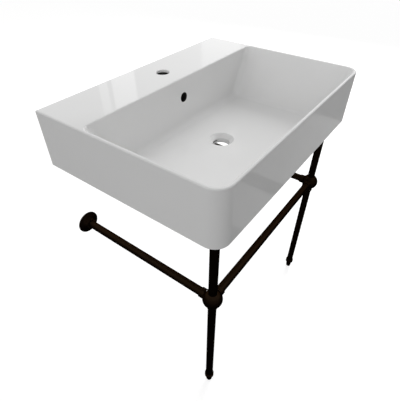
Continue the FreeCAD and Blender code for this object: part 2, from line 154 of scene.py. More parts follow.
def seen_directly(tree):
    """A value of 1 for camera, glossy and transmission rays, and 0 for the light on surfaces."""
    path = add_node(tree, "ShaderNodeLightPath")
    both = add_node(tree, "ShaderNodeMath", operation="MAXIMUM")
    every = add_node(tree, "ShaderNodeMath", operation="MAXIMUM")
    tree.links.new(path.outputs["Is Camera Ray"], both.inputs[0])
    tree.links.new(path.outputs["Is Glossy Ray"], both.inputs[1])
    tree.links.new(both.outputs[0], every.inputs[0])
    tree.links.new(path.outputs["Is Transmission Ray"], every.inputs[1])
    return every.outputs[0]


def ceiling_white(tree, ways):
    """A strength of 1, which fades overhead for glossy rays alone."""
    path = add_node(tree, "ShaderNodeLightPath")
    parts = add_node(tree, "ShaderNodeSeparateXYZ")
    fade = add_node(tree, "ShaderNodeMapRange", {
        "From Min": CEILING_STARTS, "From Max": CEILING_FULL, "To Max": CEILING_FADE})
    reflected = add_node(tree, "ShaderNodeMath", operation="MULTIPLY")
    strength = add_node(tree, "ShaderNodeMath", {0: 1.0}, operation="SUBTRACT")
    tree.links.new(ways.outputs["Generated"], parts.inputs[0])
    tree.links.new(parts.outputs["Z"], fade.inputs["Value"])
    tree.links.new(fade.outputs[0], reflected.inputs[0])
    tree.links.new(path.outputs["Is Glossy Ray"], reflected.inputs[1])
    tree.links.new(reflected.outputs[0], strength.inputs[1])
    return strength.outputs[0]


def build_sky():
    world = bpy.data.worlds.new("white_studio")
    scene.world = world
    world.use_nodes = True
    tree = world.node_tree
    tree.nodes.clear()
    ways = add_node(tree, "ShaderNodeTexCoord")
    facing = add_node(tree, "ShaderNodeVectorMath", {1: SKY_TOWARDS}, operation="DOT_PRODUCT")
    grade = add_node(tree, "ShaderNodeMapRange", {
        "From Min": -1.0, "From Max": 1.0, "To Min": SKY_DIM, "To Max": SKY_BRIGHT})
    lit = add_node(tree, "ShaderNodeBackground", {"Color": WHITE})
    seen = add_node(tree, "ShaderNodeBackground", {"Color": WHITE})
    mix = add_node(tree, "ShaderNodeMixShader")
    output = add_node(tree, "ShaderNodeOutputWorld")
    tree.links.new(ceiling_white(tree, ways), seen.inputs["Strength"])
    tree.links.new(ways.outputs["Generated"], facing.inputs[0])
    tree.links.new(facing.outputs["Value"], grade.inputs["Value"])
    tree.links.new(grade.outputs[0], lit.inputs["Strength"])
    tree.links.new(seen_directly(tree), mix.inputs[0])
    tree.links.new(lit.outputs[0], mix.inputs[1])
    tree.links.new(seen.outputs[0], mix.inputs[2])
    tree.links.new(mix.outputs[0], output.inputs["Surface"])


build_sky()
print(f"sky from {SKY_DIM} to {SKY_BRIGHT}")

# %% [markdown]
# ## The floor
#
# A white floor that only glows would lose the shadow under the feet, and one that only takes light
# would look grey. So to the camera it does a share of each, which add up to white in the open and
# leave a soft shadow below the sink. Reflections see its paint, a pale grey. To the light that
# bounces it is dimmer still, because a floor this bright would throw light up and wash out the
# shade on the basin's sides.

# %% Build the floor
FLOOR_HALF_SIZE = 6.0
FLOOR_GLOW_SHARE = 0.55
FLOOR_GLOW = 1.36
FLOOR_SHOWN = 0.9
FLOOR_REFLECTED = 0.28
FLOOR_BOUNCE = 0.38


def build_floor():
    mesh = bpy.data.meshes.new("studio_floor")
    shape = bmesh.new()
    bmesh.ops.create_grid(shape, x_segments=1, y_segments=1, size=FLOOR_HALF_SIZE)
    bmesh.ops.translate(shape, verts=shape.verts, vec=(0, 0, floor_z))
    shape.to_mesh(mesh)
    shape.free()
    floor = bpy.data.objects.new("studio_floor", mesh)
    scene.collection.objects.link(floor)
    paint = bpy.data.materials.new("floor_white")
    paint.use_nodes = True
    tree = paint.node_tree
    tree.nodes.clear()
    path = add_node(tree, "ShaderNodeLightPath")
    glow = add_node(tree, "ShaderNodeEmission", {"Color": WHITE, "Strength": FLOOR_GLOW})
    bounced, mirrored, lit_paint = [
        add_node(tree, "ShaderNodeBsdfDiffuse", {"Color": (tone, tone, tone, 1)})
        for tone in (FLOOR_BOUNCE, FLOOR_REFLECTED, FLOOR_SHOWN)]
    lit = add_node(tree, "ShaderNodeMixShader", {"Fac": FLOOR_GLOW_SHARE})
    reflected = add_node(tree, "ShaderNodeMixShader")
    shown = add_node(tree, "ShaderNodeMixShader")
    output = add_node(tree, "ShaderNodeOutputMaterial")
    tree.links.new(lit_paint.outputs[0], lit.inputs[1])
    tree.links.new(glow.outputs[0], lit.inputs[2])
    tree.links.new(seen_directly(tree), reflected.inputs[0])
    tree.links.new(bounced.outputs[0], reflected.inputs[1])
    tree.links.new(mirrored.outputs[0], reflected.inputs[2])
    tree.links.new(path.outputs["Is Camera Ray"], shown.inputs[0])
    tree.links.new(reflected.outputs[0], shown.inputs[1])
    tree.links.new(lit.outputs[0], shown.inputs[2])
    tree.links.new(shown.outputs[0], output.inputs["Surface"])
    mesh.materials.append(paint)


build_floor()
print(f"floor at z = {floor_z:.3f} m")

# %% [markdown]
# ## The key lamp and the window
#
# Sky light alone is flat. One large soft lamp on the right lights the deck and the bowl's floor and
# lets the right rim throw a wide, soft-edged shade down the end wall, as in the photograph. A lamp
# this close would draw its own hot square in the glaze, so reflections don't see it. What they do
# show on the deck is a tall window with a glazing bar, and the edge of a second one. The front face
# shows two pale strips that lie on the floor beside the sink. These are weak lamps, kept out of the
# light on surfaces and placed by the direction in which the glaze reflects them.

# %% Helpers for lamps
KEY_TOWARDS = Vector((0.88, 0.11, 0.43))
KEY_DISTANCE = 3.0
KEY_SIZE = 1.6
KEY_WATTS = 72.0
WINDOW_DISTANCE = 4.0
WINDOW_ELEVATION = 21.0
WINDOW_HEIGHT = 1.3
# The bearings of a pane's two edges in degrees, and its brightness.
PANES = {
    "narrow_pane": (33.0, 34.6, 0.4),
    "wide_pane": (35.7, 40.0, 0.6),
    "far_pane": (53.6, 60.6, 0.3),
}
# Where a strip starts and ends, in metres to the right.
STRIP_EDGES = {"near_strip": (0.357, 0.673), "far_strip": (0.79, 1.70)}
STRIP_REACH = (-1.4, -0.6)
STRIP_ABOVE_FLOOR = 0.002
STRIP_BRIGHTNESS = 0.23

deck_middle = Vector((0.0, (basin_low.y + basin_high.y) / 2, rim_z))


def hang_lamp(name, place, away, width, height, watts):
    """A rectangular lamp whose back points away from what it lights."""
    lamp = bpy.data.lights.new(name, "AREA")
    lamp.shape = "RECTANGLE"
    lamp.size = width
    lamp.size_y = height
    lamp.energy = watts
    holder = bpy.data.objects.new(name, lamp)
    scene.collection.objects.link(holder)
    holder.location = place
    holder.rotation_euler = away.to_track_quat("Z", "Y").to_euler()
    holder.visible_camera = False
    return holder


def hang_reflection(name, place, away, width, height, brightness):
    """A lamp of a given brightness that only reflections show."""
    watts = math.pi * width * height * brightness
    holder = hang_lamp(name, place, away, width, height, watts)
    holder.visible_diffuse = False
    return holder


def hang_pane(name, start, end, brightness):
    """A window pane between two bearings, in degrees from straight back towards the right."""
    bearing = math.radians((start + end) / 2)
    height = math.tan(math.radians(WINDOW_ELEVATION))
    away = Vector((math.sin(bearing), math.cos(bearing), height)).normalized()
    width = WINDOW_DISTANCE * math.radians(end - start)
    place = deck_middle + away * WINDOW_DISTANCE
    return hang_reflection(name, place, away, width, WINDOW_HEIGHT, brightness)


def lay_strip(name, start, end):
    """A pale strip that lies on the floor between two places to the right."""
    front, back = STRIP_REACH
    place = Vector(((start + end) / 2, (front + back) / 2, floor_z + STRIP_ABOVE_FLOOR))
    down = Vector((0, 0, -1))
    return hang_reflection(name, place, down, end - start, back - front, STRIP_BRIGHTNESS)


print(f"the lamps are placed round {tuple(round(v, 3) for v in deck_middle)}")

# %% Hang the lamps
key_way = KEY_TOWARDS.normalized()
key = hang_lamp("key", deck_middle + key_way * KEY_DISTANCE, key_way, KEY_SIZE, KEY_SIZE, KEY_WATTS)
key.visible_glossy = False
panes = [hang_pane(name, *pane) for name, pane in PANES.items()]
strips = [lay_strip(name, *edges) for name, edges in STRIP_EDGES.items()]
print(f"key lamp of {KEY_WATTS} W, {len(panes)} window panes and {len(strips)} floor strips")

# %% [markdown]
# ## Shared surface effects
#
# Several finishes on this sink are uneven in the same ways: cloudy from firing or hand rubbing, a
# little hazy where touched, brighter where an edge has been rubbed. Each effect is a node group,
# built once and placed in every finish that needs it with that finish's own numbers.

# %% Build the effect groups
CLOUD_ROUGHNESS = 0.55
CLOUD_STARTS = 0.33
CLOUD_FULL = 0.67
HALF = 0.5


def new_group(name, inputs, outputs):
    """A shader node group with plain number sockets. Returns the tree and its two end nodes."""
    tree = bpy.data.node_groups.new(name, "ShaderNodeTree")
    for socket, value in inputs.items():
        made = tree.interface.new_socket(socket, in_out="INPUT", socket_type="NodeSocketFloat")
        made.default_value = value
    for socket in outputs:
        tree.interface.new_socket(socket, in_out="OUTPUT", socket_type="NodeSocketFloat")
    return tree, add_node(tree, "NodeGroupInput"), add_node(tree, "NodeGroupOutput")


def build_clouds():
    """Soft cloudy patches: a mask from 0 to 1."""
    tree, given, result = new_group("clouds", {"Scale": 10.0, "Detail": 3.0}, ["Mask"])
    place = add_node(tree, "ShaderNodeTexCoord")
    noise = add_node(tree, "ShaderNodeTexNoise", {"Roughness": CLOUD_ROUGHNESS})
    spread = add_node(tree, "ShaderNodeMapRange", {
        "From Min": CLOUD_STARTS, "From Max": CLOUD_FULL})
    tree.links.new(place.outputs["Object"], noise.inputs["Vector"])
    tree.links.new(given.outputs["Scale"], noise.inputs["Scale"])
    tree.links.new(given.outputs["Detail"], noise.inputs["Detail"])
    tree.links.new(noise.outputs[0], spread.inputs["Value"])
    tree.links.new(spread.outputs[0], result.inputs["Mask"])
    return tree


def build_haze():
    """A roughness that wanders round its middle value, as on a surface that has been wiped."""
    usual = {"Middle": 0.2, "Spread": 0.05, "Scale": 8.0}
    tree, given, result = new_group("haze", usual, ["Roughness"])
    patches = add_node(tree, "ShaderNodeGroup", node_tree=clouds)
    centred = add_node(tree, "ShaderNodeMath", {1: HALF}, operation="SUBTRACT")
    wander = add_node(tree, "ShaderNodeMath", operation="MULTIPLY_ADD")
    tree.links.new(given.outputs["Scale"], patches.inputs["Scale"])
    tree.links.new(patches.outputs["Mask"], centred.inputs[0])
    tree.links.new(centred.outputs[0], wander.inputs[0])
    tree.links.new(given.outputs["Spread"], wander.inputs[1])
    tree.links.new(given.outputs["Middle"], wander.inputs[2])
    tree.links.new(wander.outputs[0], result.inputs["Roughness"])
    return tree


def build_edge_rub():
    """A mask that is bright on outer edges, broken up by clouds."""
    usual = {"Start": 0.53, "Full": 0.62, "Scale": 60.0}
    tree, given, result = new_group("edge_rub", usual, ["Mask"])
    form = add_node(tree, "ShaderNodeNewGeometry")
    edge = add_node(tree, "ShaderNodeMapRange")
    patches = add_node(tree, "ShaderNodeGroup", node_tree=clouds)
    broken = add_node(tree, "ShaderNodeMath", operation="MULTIPLY")
    tree.links.new(form.outputs["Pointiness"], edge.inputs["Value"])
    tree.links.new(given.outputs["Start"], edge.inputs["From Min"])
    tree.links.new(given.outputs["Full"], edge.inputs["From Max"])
    tree.links.new(given.outputs["Scale"], patches.inputs["Scale"])
    tree.links.new(edge.outputs[0], broken.inputs[0])
    tree.links.new(patches.outputs["Mask"], broken.inputs[1])
    tree.links.new(broken.outputs[0], result.inputs["Mask"])
    return tree


clouds = build_clouds()
haze = build_haze()
edge_rub = build_edge_rub()
print(f"built the groups {clouds.name}, {haze.name} and {edge_rub.name}")

# %% [markdown]
# ## Finishes
#
# A finish here is a Principled shader whose colour drifts between two close tones, whose roughness
# wanders and whose surface has a fine relief. One function lays that out, and each finish gives it
# the numbers that make it china, metal, rubber or plastic.

# %% A function that mixes a finish
RELIEF_DEPTH = 0.001
TONE_DETAIL = 3.0
RELIEF_DETAIL = 2.0
# A Mix node has sockets of the same name for each kind of data, so they are told apart by number.
FIRST_VALUE = 2
SECOND_VALUE = 3
FIRST_COLOUR = 6
SECOND_COLOUR = 7
MIXED_COLOUR = 2


def place_group(tree, group, **values):
    node = add_node(tree, "ShaderNodeGroup", node_tree=group)
    for name, value in values.items():
        node.inputs[name.title()].default_value = value
    return node


def mix_tones(tree, mask, first, second):
    """A colour between two tones, or between a link and a tone, by a mask."""
    mix = add_node(tree, "ShaderNodeMix", data_type="RGBA")
    tree.links.new(mask, mix.inputs["Factor"])
    for number, tone in ((FIRST_COLOUR, first), (SECOND_COLOUR, second)):
        socket = mix.inputs[number]
        if isinstance(tone, bpy.types.NodeSocket):
            tree.links.new(tone, socket)
        else:
            socket.default_value = (*tone, 1)
    return mix.outputs[MIXED_COLOUR]


def new_finish(name, tones, cloud_scale, roughness, spread, haze_scale, relief_scale, relief):
    """Returns the material, its tree, shader and colour link, for finishes that add more."""
    paint = bpy.data.materials.new(name)
    paint.use_nodes = True
    tree = paint.node_tree
    shader = tree.nodes["Principled BSDF"]
    patches = place_group(tree, clouds, scale=cloud_scale, detail=TONE_DETAIL)
    colour = mix_tones(tree, patches.outputs["Mask"], *tones)
    wiped = place_group(tree, haze, middle=roughness, spread=spread, scale=haze_scale)
    grain = place_group(tree, clouds, scale=relief_scale, detail=RELIEF_DETAIL)
    bump = add_node(tree, "ShaderNodeBump", {"Strength": relief, "Distance": RELIEF_DEPTH})
    tree.links.new(colour, shader.inputs["Base Color"])
    tree.links.new(wiped.outputs["Roughness"], shader.inputs["Roughness"])
    tree.links.new(grain.outputs["Mask"], bump.inputs["Height"])
    tree.links.new(bump.outputs[0], shader.inputs["Normal"])
    return paint, tree, shader, colour


print("ready to mix finishes")

# %% [markdown]
# ### Glazed china
#
# The basin is white china under a clear glaze: a smooth, slightly rippled gloss over a body that is
# never quite even in tone. The maker leaves the back and the underside bare, where it stood in the
# kiln. A second material would need those faces sorted by hand, so a mask from the surface's own
# direction and place turns them to dull biscuit. No glaze runs far into the tap hole or the overflow
# either, so their depths turn dull. Their colour there is painted near-black as shade, which a second
# mask follows: inside the hole's radius and past a small depth. The passage behind the overflow is
# wider than its hole, so an oval of its own covers it.

# %% Masks for the bare faces and the dark depths
GLAZE_TONES = ((0.775, 0.775, 0.772), (0.795, 0.795, 0.793))
BISCUIT_TONE = (0.66, 0.64, 0.59)
BISCUIT_ROUGHNESS = 0.8
GLAZE_SPECULAR = 0.42
BARE_STARTS = -0.2
BARE_FULL = -0.6
BACK_DEPTH = 0.0006
# Painted shade: a near-black colour for the depths of the holes.
HOLE_SHADE_TONE = (0.010, 0.009, 0.008)
TAP_FROM_WALL = 0.076
TAP_REACH = 0.0186
TAP_GLAZE_DEPTH = 0.0065
TAP_END = 0.016
OVERFLOW_DROP = 0.0525
OVERFLOW_REACH = 0.0136
OVERFLOW_LIP = -0.1475
OVERFLOW_END = -0.120
PASSAGE_DROP = 0.0605
# The oval is taller than it is wide, so height counts for less in its reach.
PASSAGE_SHAPE = (1, 0, 0.7)
PASSAGE_REACH = 0.0185
PASSAGE_START = -0.1385
PASSAGE_END = -0.1215


def bare_mask(tree):
    """1 on faces that look down and on the flat back, 0 on the glazed rest."""
    form = add_node(tree, "ShaderNodeNewGeometry")
    parts = add_node(tree, "ShaderNodeSeparateXYZ")
    below = add_node(tree, "ShaderNodeMapRange", {"From Min": BARE_STARTS, "From Max": BARE_FULL})
    place = add_node(tree, "ShaderNodeTexCoord")
    depth = add_node(tree, "ShaderNodeSeparateXYZ")
    back = add_node(tree, "ShaderNodeMapRange", {
        "From Min": -2 * BACK_DEPTH, "From Max": -BACK_DEPTH})
    either = add_node(tree, "ShaderNodeMath", operation="MAXIMUM")
    tree.links.new(form.outputs["Normal"], parts.inputs[0])
    tree.links.new(parts.outputs["Z"], below.inputs["Value"])
    tree.links.new(place.outputs["Object"], depth.inputs[0])
    tree.links.new(depth.outputs["Y"], back.inputs["Value"])
    tree.links.new(below.outputs[0], either.inputs[0])
    tree.links.new(back.outputs[0], either.inputs[1])
    return either.outputs[0]


def hole_mask(tree, centre, across, reach, axis, start, end):
    """1 round a line through a hole's centre, between two depths along an axis, and 0 elsewhere."""
    place = add_node(tree, "ShaderNodeTexCoord")
    offset = add_node(tree, "ShaderNodeVectorMath", {1: centre}, operation="SUBTRACT")
    flat = add_node(tree, "ShaderNodeVectorMath", {1: across}, operation="MULTIPLY")
    away = add_node(tree, "ShaderNodeVectorMath", operation="LENGTH")
    within = add_node(tree, "ShaderNodeMath", {1: reach}, operation="LESS_THAN")
    parts = add_node(tree, "ShaderNodeSeparateXYZ")
    span = {1: (start + end) / 2, 2: abs(end - start) / 2}
    deep = add_node(tree, "ShaderNodeMath", span, operation="COMPARE")
    both = add_node(tree, "ShaderNodeMath", operation="MULTIPLY")
    tree.links.new(place.outputs["Object"], offset.inputs[0])
    tree.links.new(offset.outputs[0], flat.inputs[0])
    tree.links.new(flat.outputs[0], away.inputs[0])
    tree.links.new(away.outputs["Value"], within.inputs[0])
    tree.links.new(place.outputs["Object"], parts.inputs[0])
    tree.links.new(parts.outputs[axis], deep.inputs[0])
    tree.links.new(within.outputs[0], both.inputs[0])
    tree.links.new(deep.outputs[0], both.inputs[1])
    return both.outputs[0]


def painted_hole_shade_mask(tree):
    """1 in the depths of the tap hole, of the overflow and of the passage behind it, where shade is
    painted.
    """
    depths = hole_mask(tree, (0, -TAP_FROM_WALL, 0), (1, 1, 0), TAP_REACH, "Z",
                       rim_z - TAP_GLAZE_DEPTH, rim_z - TAP_END)
    overflow = hole_mask(tree, (0, 0, rim_z - OVERFLOW_DROP), (1, 0, 1), OVERFLOW_REACH, "Y",
                         OVERFLOW_LIP, OVERFLOW_END)
    passage = hole_mask(tree, (0, 0, rim_z - PASSAGE_DROP), PASSAGE_SHAPE, PASSAGE_REACH, "Y",
                        PASSAGE_START, PASSAGE_END)
    for hole in (overflow, passage):
        either = add_node(tree, "ShaderNodeMath", operation="MAXIMUM")
        tree.links.new(depths, either.inputs[0])
        tree.links.new(hole, either.inputs[1])
        depths = either.outputs[0]
    return depths


print(f"the tap hole is dark from {TAP_GLAZE_DEPTH} m down")

# %% Mix the glaze


def mix_glaze():
    paint, tree, shader, colour = new_finish(
        "ceramic_glaze", GLAZE_TONES, cloud_scale=3.0, roughness=0.05, spread=0.03,
        haze_scale=5.0, relief_scale=45.0, relief=0.006)
    bare = bare_mask(tree)
    depths = painted_hole_shade_mask(tree)
    fired = mix_tones(tree, bare, colour, BISCUIT_TONE)
    # The depths of the holes get the painted shade, a near-black colour.
    tree.links.new(mix_tones(tree, depths, fired, HOLE_SHADE_TONE), shader.inputs["Base Color"])
    glossy = shader.inputs["Roughness"].links[0].from_socket
    raw = add_node(tree, "ShaderNodeMath", operation="MAXIMUM")
    dull = add_node(tree, "ShaderNodeMix", {SECOND_VALUE: BISCUIT_ROUGHNESS})
    tree.links.new(bare, raw.inputs[0])
    tree.links.new(depths, raw.inputs[1])
    tree.links.new(raw.outputs[0], dull.inputs["Factor"])
    tree.links.new(glossy, dull.inputs[FIRST_VALUE])
    tree.links.new(dull.outputs[0], shader.inputs["Roughness"])
    shader.inputs["Specular IOR Level"].default_value = GLAZE_SPECULAR
    return paint


finishes = {"ceramic": mix_glaze()}
print("mixed", finishes["ceramic"].name)

# %% [markdown]
# ### Rubbed bronze
#
# The stand's brass has been darkened chemically, then oiled and rubbed, so it is nearly black with a
# brown cast. A little of the metal shows on its outer edges, where it is worn. The tops of the rails
# are lighter brown too, a painted sheen of the light from above. A dark paint would shine white along
# each tube's outline. The dark film doesn't, so it is drawn as a metal that reflects very little, and
# its specular tint keeps the glancing reflection dark too.

# %% Mix the bronze
FILM_TONES = ((0.0086, 0.0051, 0.0031), (0.0112, 0.0066, 0.0041))
# The lighter tone of the worn edges, and of the painted sheen on the tops.
WEAR_AND_SHEEN_TONE = (0.078, 0.046, 0.026)
TOP_STARTS = 0.62
TOP_FULL = 1.0
TOP_SHEEN_SHARE = 0.38
GLANCING_TINT = (0.10, 0.065, 0.04, 1)


def painted_top_sheen(tree):
    """A mask of painted sheen that grows on faces that look up."""
    form = add_node(tree, "ShaderNodeNewGeometry")
    parts = add_node(tree, "ShaderNodeSeparateXYZ")
    rise = add_node(tree, "ShaderNodeMapRange", {
        "From Min": TOP_STARTS, "From Max": TOP_FULL, "To Max": TOP_SHEEN_SHARE})
    tree.links.new(form.outputs["Normal"], parts.inputs[0])
    tree.links.new(parts.outputs["Z"], rise.inputs["Value"])
    return rise.outputs[0]


def mix_bronze():
    paint, tree, shader, colour = new_finish(
        "rubbed_bronze", FILM_TONES, cloud_scale=14.0, roughness=0.48, spread=0.08,
        haze_scale=25.0, relief_scale=900.0, relief=0.03)
    edges = place_group(tree, edge_rub, start=0.52, full=0.60, scale=70.0)
    # Lighter on the worn edges, and on the tops, where a painted sheen stands for light from above.
    lightened = add_node(tree, "ShaderNodeMath", operation="MAXIMUM")
    tree.links.new(edges.outputs["Mask"], lightened.inputs[0])
    tree.links.new(painted_top_sheen(tree), lightened.inputs[1])
    lightened_colour = mix_tones(tree, lightened.outputs[0], colour, WEAR_AND_SHEEN_TONE)
    tree.links.new(lightened_colour, shader.inputs["Base Color"])
    shader.inputs["Metallic"].default_value = 1.0
    shader.inputs["Specular Tint"].default_value = GLANCING_TINT
    return paint


finishes["bronze"] = mix_bronze()
print("mixed", finishes["bronze"].name)

# %% [markdown]
# ### Steel, brass, rubber and plastic
#
# The hidden pieces are plain hardware: steel plates and screws, brass thread inserts, rubber cushions
# and rings, moulded caps and glides. Five sets of nodes could be laid by hand, but two recipes cover
# them: one for metals, which share the rubbed edge with the bronze, and one for moulded pieces.

# %% Mix the hardware finishes
# Each metal: its name, its two tones, the tone of its rubbed edges and its roughness.
METALS = {
    "steel": ("plated_steel", ((0.50, 0.51, 0.52), (0.58, 0.59, 0.60)), (0.72, 0.72, 0.72), 0.32),
    "brass_insert": (
        "turned_brass", ((0.66, 0.49, 0.23), (0.75, 0.58, 0.30)), (0.85, 0.70, 0.42), 0.28),
}
# Each moulded material: its name, its two tones, its roughness and the strength of its relief.
MOULDED = {
    "rubber": ("black_rubber", ((0.020, 0.020, 0.020), (0.034, 0.034, 0.034)), 0.75, 0.25),
    "cap_plastic": ("cap_plastic", ((0.030, 0.030, 0.030), (0.042, 0.042, 0.042)), 0.50, 0.12),
    "glide_plastic": ("glide_plastic", ((0.040, 0.036, 0.032), (0.055, 0.050, 0.045)), 0.45, 0.10),
}


def mix_metal(name, tones, edge_tone, roughness):
    paint, tree, shader, colour = new_finish(
        name, tones, cloud_scale=35.0, roughness=roughness, spread=0.10,
        haze_scale=60.0, relief_scale=700.0, relief=0.05)
    lightened = place_group(tree, edge_rub, start=0.52, full=0.62, scale=120.0)
    lightened_colour = mix_tones(tree, lightened.outputs["Mask"], colour, edge_tone)
    tree.links.new(lightened_colour, shader.inputs["Base Color"])
    shader.inputs["Metallic"].default_value = 1.0
    return paint


def mix_moulded(name, tones, roughness, relief):
    paint, tree, shader, colour = new_finish(
        name, tones, cloud_scale=50.0, roughness=roughness, spread=0.08,
        haze_scale=90.0, relief_scale=1400.0, relief=relief)
    return paint


finishes.update({slot: mix_metal(*recipe) for slot, recipe in METALS.items()})
finishes.update({slot: mix_moulded(*recipe) for slot, recipe in MOULDED.items()})
for node, solid in nodes.items():
    solid.data.materials.clear()
    solid.data.materials.append(finishes[slot_of[node]])
print(f"mixed {len(finishes)} finishes and laid them on {len(nodes)} solids")

# %% [markdown]
# ## Spinning the turned pieces
#
# The basin, the ball joints, the wall plates and the wall flanges keep their measured solids, which
# are right as they are. Most of the rest came off a lathe. Stacked cylinders would leave seams, so we
# make these pieces as a lathe does: a few corner points give half of a section, bmesh.ops.spin
# carries them once round a line, and each corner that the real piece has broken or rounded is
# bevelled by its own amount.

# %% Helpers for turned pieces
MM = 0.001
TURN_STEPS = 64
ROUNDING_STEPS = 4
ROUND_PROFILE = 0.5
MERGE_DISTANCE = 1e-6
SMOOTH_BELOW = math.radians(35)
UP = Vector((0, 0, 1))
TO_WALL = Vector((0, 1, 0))
SIDES = ("left", "right")


def ring_edges(shape, radius, height):
    """The edges of a spun shape that lie on one circle."""
    def on_circle(vertex):
        out = math.hypot(vertex.co.x, vertex.co.y)
        return math.isclose(out, radius, abs_tol=MERGE_DISTANCE) and math.isclose(
            vertex.co.z, height, abs_tol=MERGE_DISTANCE)
    return [edge for edge in shape.edges if all(on_circle(vertex) for vertex in edge.verts)]


def turned(outline, base, direction=UP):
    """Spin corners of (radius, height, rounding), in mm, round a line from a base point.

    An outline that starts on the line ends on it too. Any other is closed to a ring.
    """
    shape = bmesh.new()
    corners = [(radius * MM, height * MM, rounding * MM) for radius, height, rounding in outline]
    points = [shape.verts.new((radius, 0, height)) for radius, height, rounding in corners]
    following = points[1:] + points[:1] if corners[0][0] > 0 else points[1:]
    edges = [shape.edges.new(pair) for pair in zip(points, following)]
    bmesh.ops.spin(shape, geom=points + edges, cent=(0, 0, 0), axis=UP, angle=2 * math.pi,
                   steps=TURN_STEPS, use_merge=True)
    bmesh.ops.remove_doubles(shape, verts=shape.verts, dist=MERGE_DISTANCE)
    bmesh.ops.recalc_face_normals(shape, faces=shape.faces)
    for radius, height, rounding in corners:
        if rounding > 0:
            bmesh.ops.bevel(shape, geom=ring_edges(shape, radius, height), offset=rounding,
                            offset_type="OFFSET", segments=ROUNDING_STEPS, profile=ROUND_PROFILE,
                            affect="EDGES", material=-1)
    turn = UP.rotation_difference(direction).to_matrix().to_4x4()
    bmesh.ops.transform(shape, matrix=Matrix.Translation(base) @ turn, verts=shape.verts)
    return shape


def finish_piece(shape, name, node):
    """Make a piece of a shape. It stands for a solid, and takes its body, slot and finish."""
    mesh = bpy.data.meshes.new(name)
    shape.to_mesh(mesh)
    shape.free()
    mesh.shade_smooth()
    mesh.set_sharp_from_angle(angle=SMOOTH_BELOW)
    mesh.materials.append(finishes[slot_of[node]])
    piece = bpy.data.objects.new(name, mesh)
    scene.collection.objects.link(piece)
    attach(piece, body_of[node])
    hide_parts(node)
    return piece


def foot_of(node):
    """The middle of a solid's lowest face, its radius and its height, the last two in mm."""
    low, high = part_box(node)
    middle = (low + high) / 2
    return Vector((middle.x, middle.y, low.z)), (high.x - low.x) / 2 / MM, (high.z - low.z) / MM


print(f"a full turn has {TURN_STEPS} steps")

# %% [markdown]
# ### Tubes
#
# The legs and the front rail are drawn tube with a thin wall. A plain cylinder would look the same
# from far away, but the open ends show when the sink is taken apart, so each tube gets its bore and
# a broken edge at both ends. Its box gives its line, length and radius. A ring of points close to
# each end keeps the rubbed edge there, because that mask fades from one point to the next.

# %% Spin the tubes
TUBE_WALL = 1.2
TUBE_EDGE = 0.3
EDGE_FADE = 2.0
TUBE_NODES = ["front_rail"] + [f"{part}_leg_{side}" for part in ("upper", "lower") for side in SIDES]


def spin_tube(node):
    low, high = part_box(node)
    size = high - low
    along = max(range(3), key=lambda axis: size[axis])
    direction = Vector((0, 0, 0))
    direction[along] = 1
    base = (low + high) / 2
    base[along] = low[along]
    radius = min(size) / 2 / MM
    length = size[along] / MM
    bore = radius - TUBE_WALL
    outline = [(bore, 0, 0), (radius, 0, TUBE_EDGE), (radius, EDGE_FADE, 0)]
    outline += [(radius, length - EDGE_FADE, 0), (radius, length, TUBE_EDGE), (bore, length, 0)]
    return finish_piece(turned(outline, base, direction), f"{node}_tube", node)


tubes = [spin_tube(node) for node in TUBE_NODES]
print(f"spun {len(tubes)} tubes")

# %% [markdown]
# ### Drilled rails
#
# Each side rail is the same tube, with a small hole below its wall end for a screw. A spun tube would
# need the hole cut again, so a copy of the measured solid is used. Its triangles are merged first.
# Level cuts then add the rings of points that the rubbed edge needs, at both ends and at the hole.

# %% Copy and cut the side rails
HOLE_FROM_WALL = 13.0
HOLE_MARGIN = 4.0


def cut_rail(side):
    node = f"side_rail_{side}"
    low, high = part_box(node)
    shape = bmesh.new()
    shape.from_mesh(nodes[node].data)
    bmesh.ops.remove_doubles(shape, verts=shape.verts, dist=MERGE_DISTANCE)
    hole = -HOLE_FROM_WALL * MM
    margin = HOLE_MARGIN * MM
    fade = EDGE_FADE * MM
    for depth in (low.y + fade, hole - margin, hole + margin, high.y - fade):
        whole = shape.verts[:] + shape.edges[:] + shape.faces[:]
        bmesh.ops.bisect_plane(shape, geom=whole, plane_co=(0, depth, 0), plane_no=TO_WALL)
    bmesh.ops.dissolve_degenerate(shape, dist=MERGE_DISTANCE, edges=shape.edges)
    return finish_piece(shape, f"{node}_drilled", node)


side_rails = [cut_rail(side) for side in SIDES]
print(f"cut {len(side_rails)} side rails")

# %% [markdown]
# ### Leg tops
#
# Where a leg meets the basin, a moulded cap with gripping ribs is pushed into the tube, and a rubber
# cup over it takes the weight of the china. Ribs could be separate rings pushed over a plug, but then
# faces would lie inside the piece. As more corners in the outline they stay one closed skin.

# %% Spin the caps and cushions
CAP_PLUG_RADIUS = 9.85
CAP_FLANGE_THICKNESS = 4.0
CAP_RIBS = 4
CAP_RIB_DEPTH = 0.7
CAP_RIBS_START = 1.5
CAP_RIBS_CLEAR = 1
CAP_ROUNDING = 0.8
CAP_FLANGE_EDGE = 0.4
CUSHION_SEAT_RADIUS = 13.05
CUSHION_SEAT_DEPTH = 2.0
CUSHION_GROOVE = 0.6
CUSHION_GROOVE_START = 1.2
CUSHION_GROOVE_CLEAR = 1.4
CUSHION_LOW_ROUNDING = 0.6
CUSHION_TOP_ROUNDING = 1.0


def ribbed(radius, depth, start, end, count):
    """Corners of square ribs up a straight side, from one height to another."""
    pitch = (end - start) / (2 * count + 1)
    corners = []
    for index in range(count):
        low = start + (2 * index + 1) * pitch
        corners += [(radius, low, 0), (radius - depth, low, 0)]
        corners += [(radius - depth, low + pitch, 0), (radius, low + pitch, 0)]
    return corners


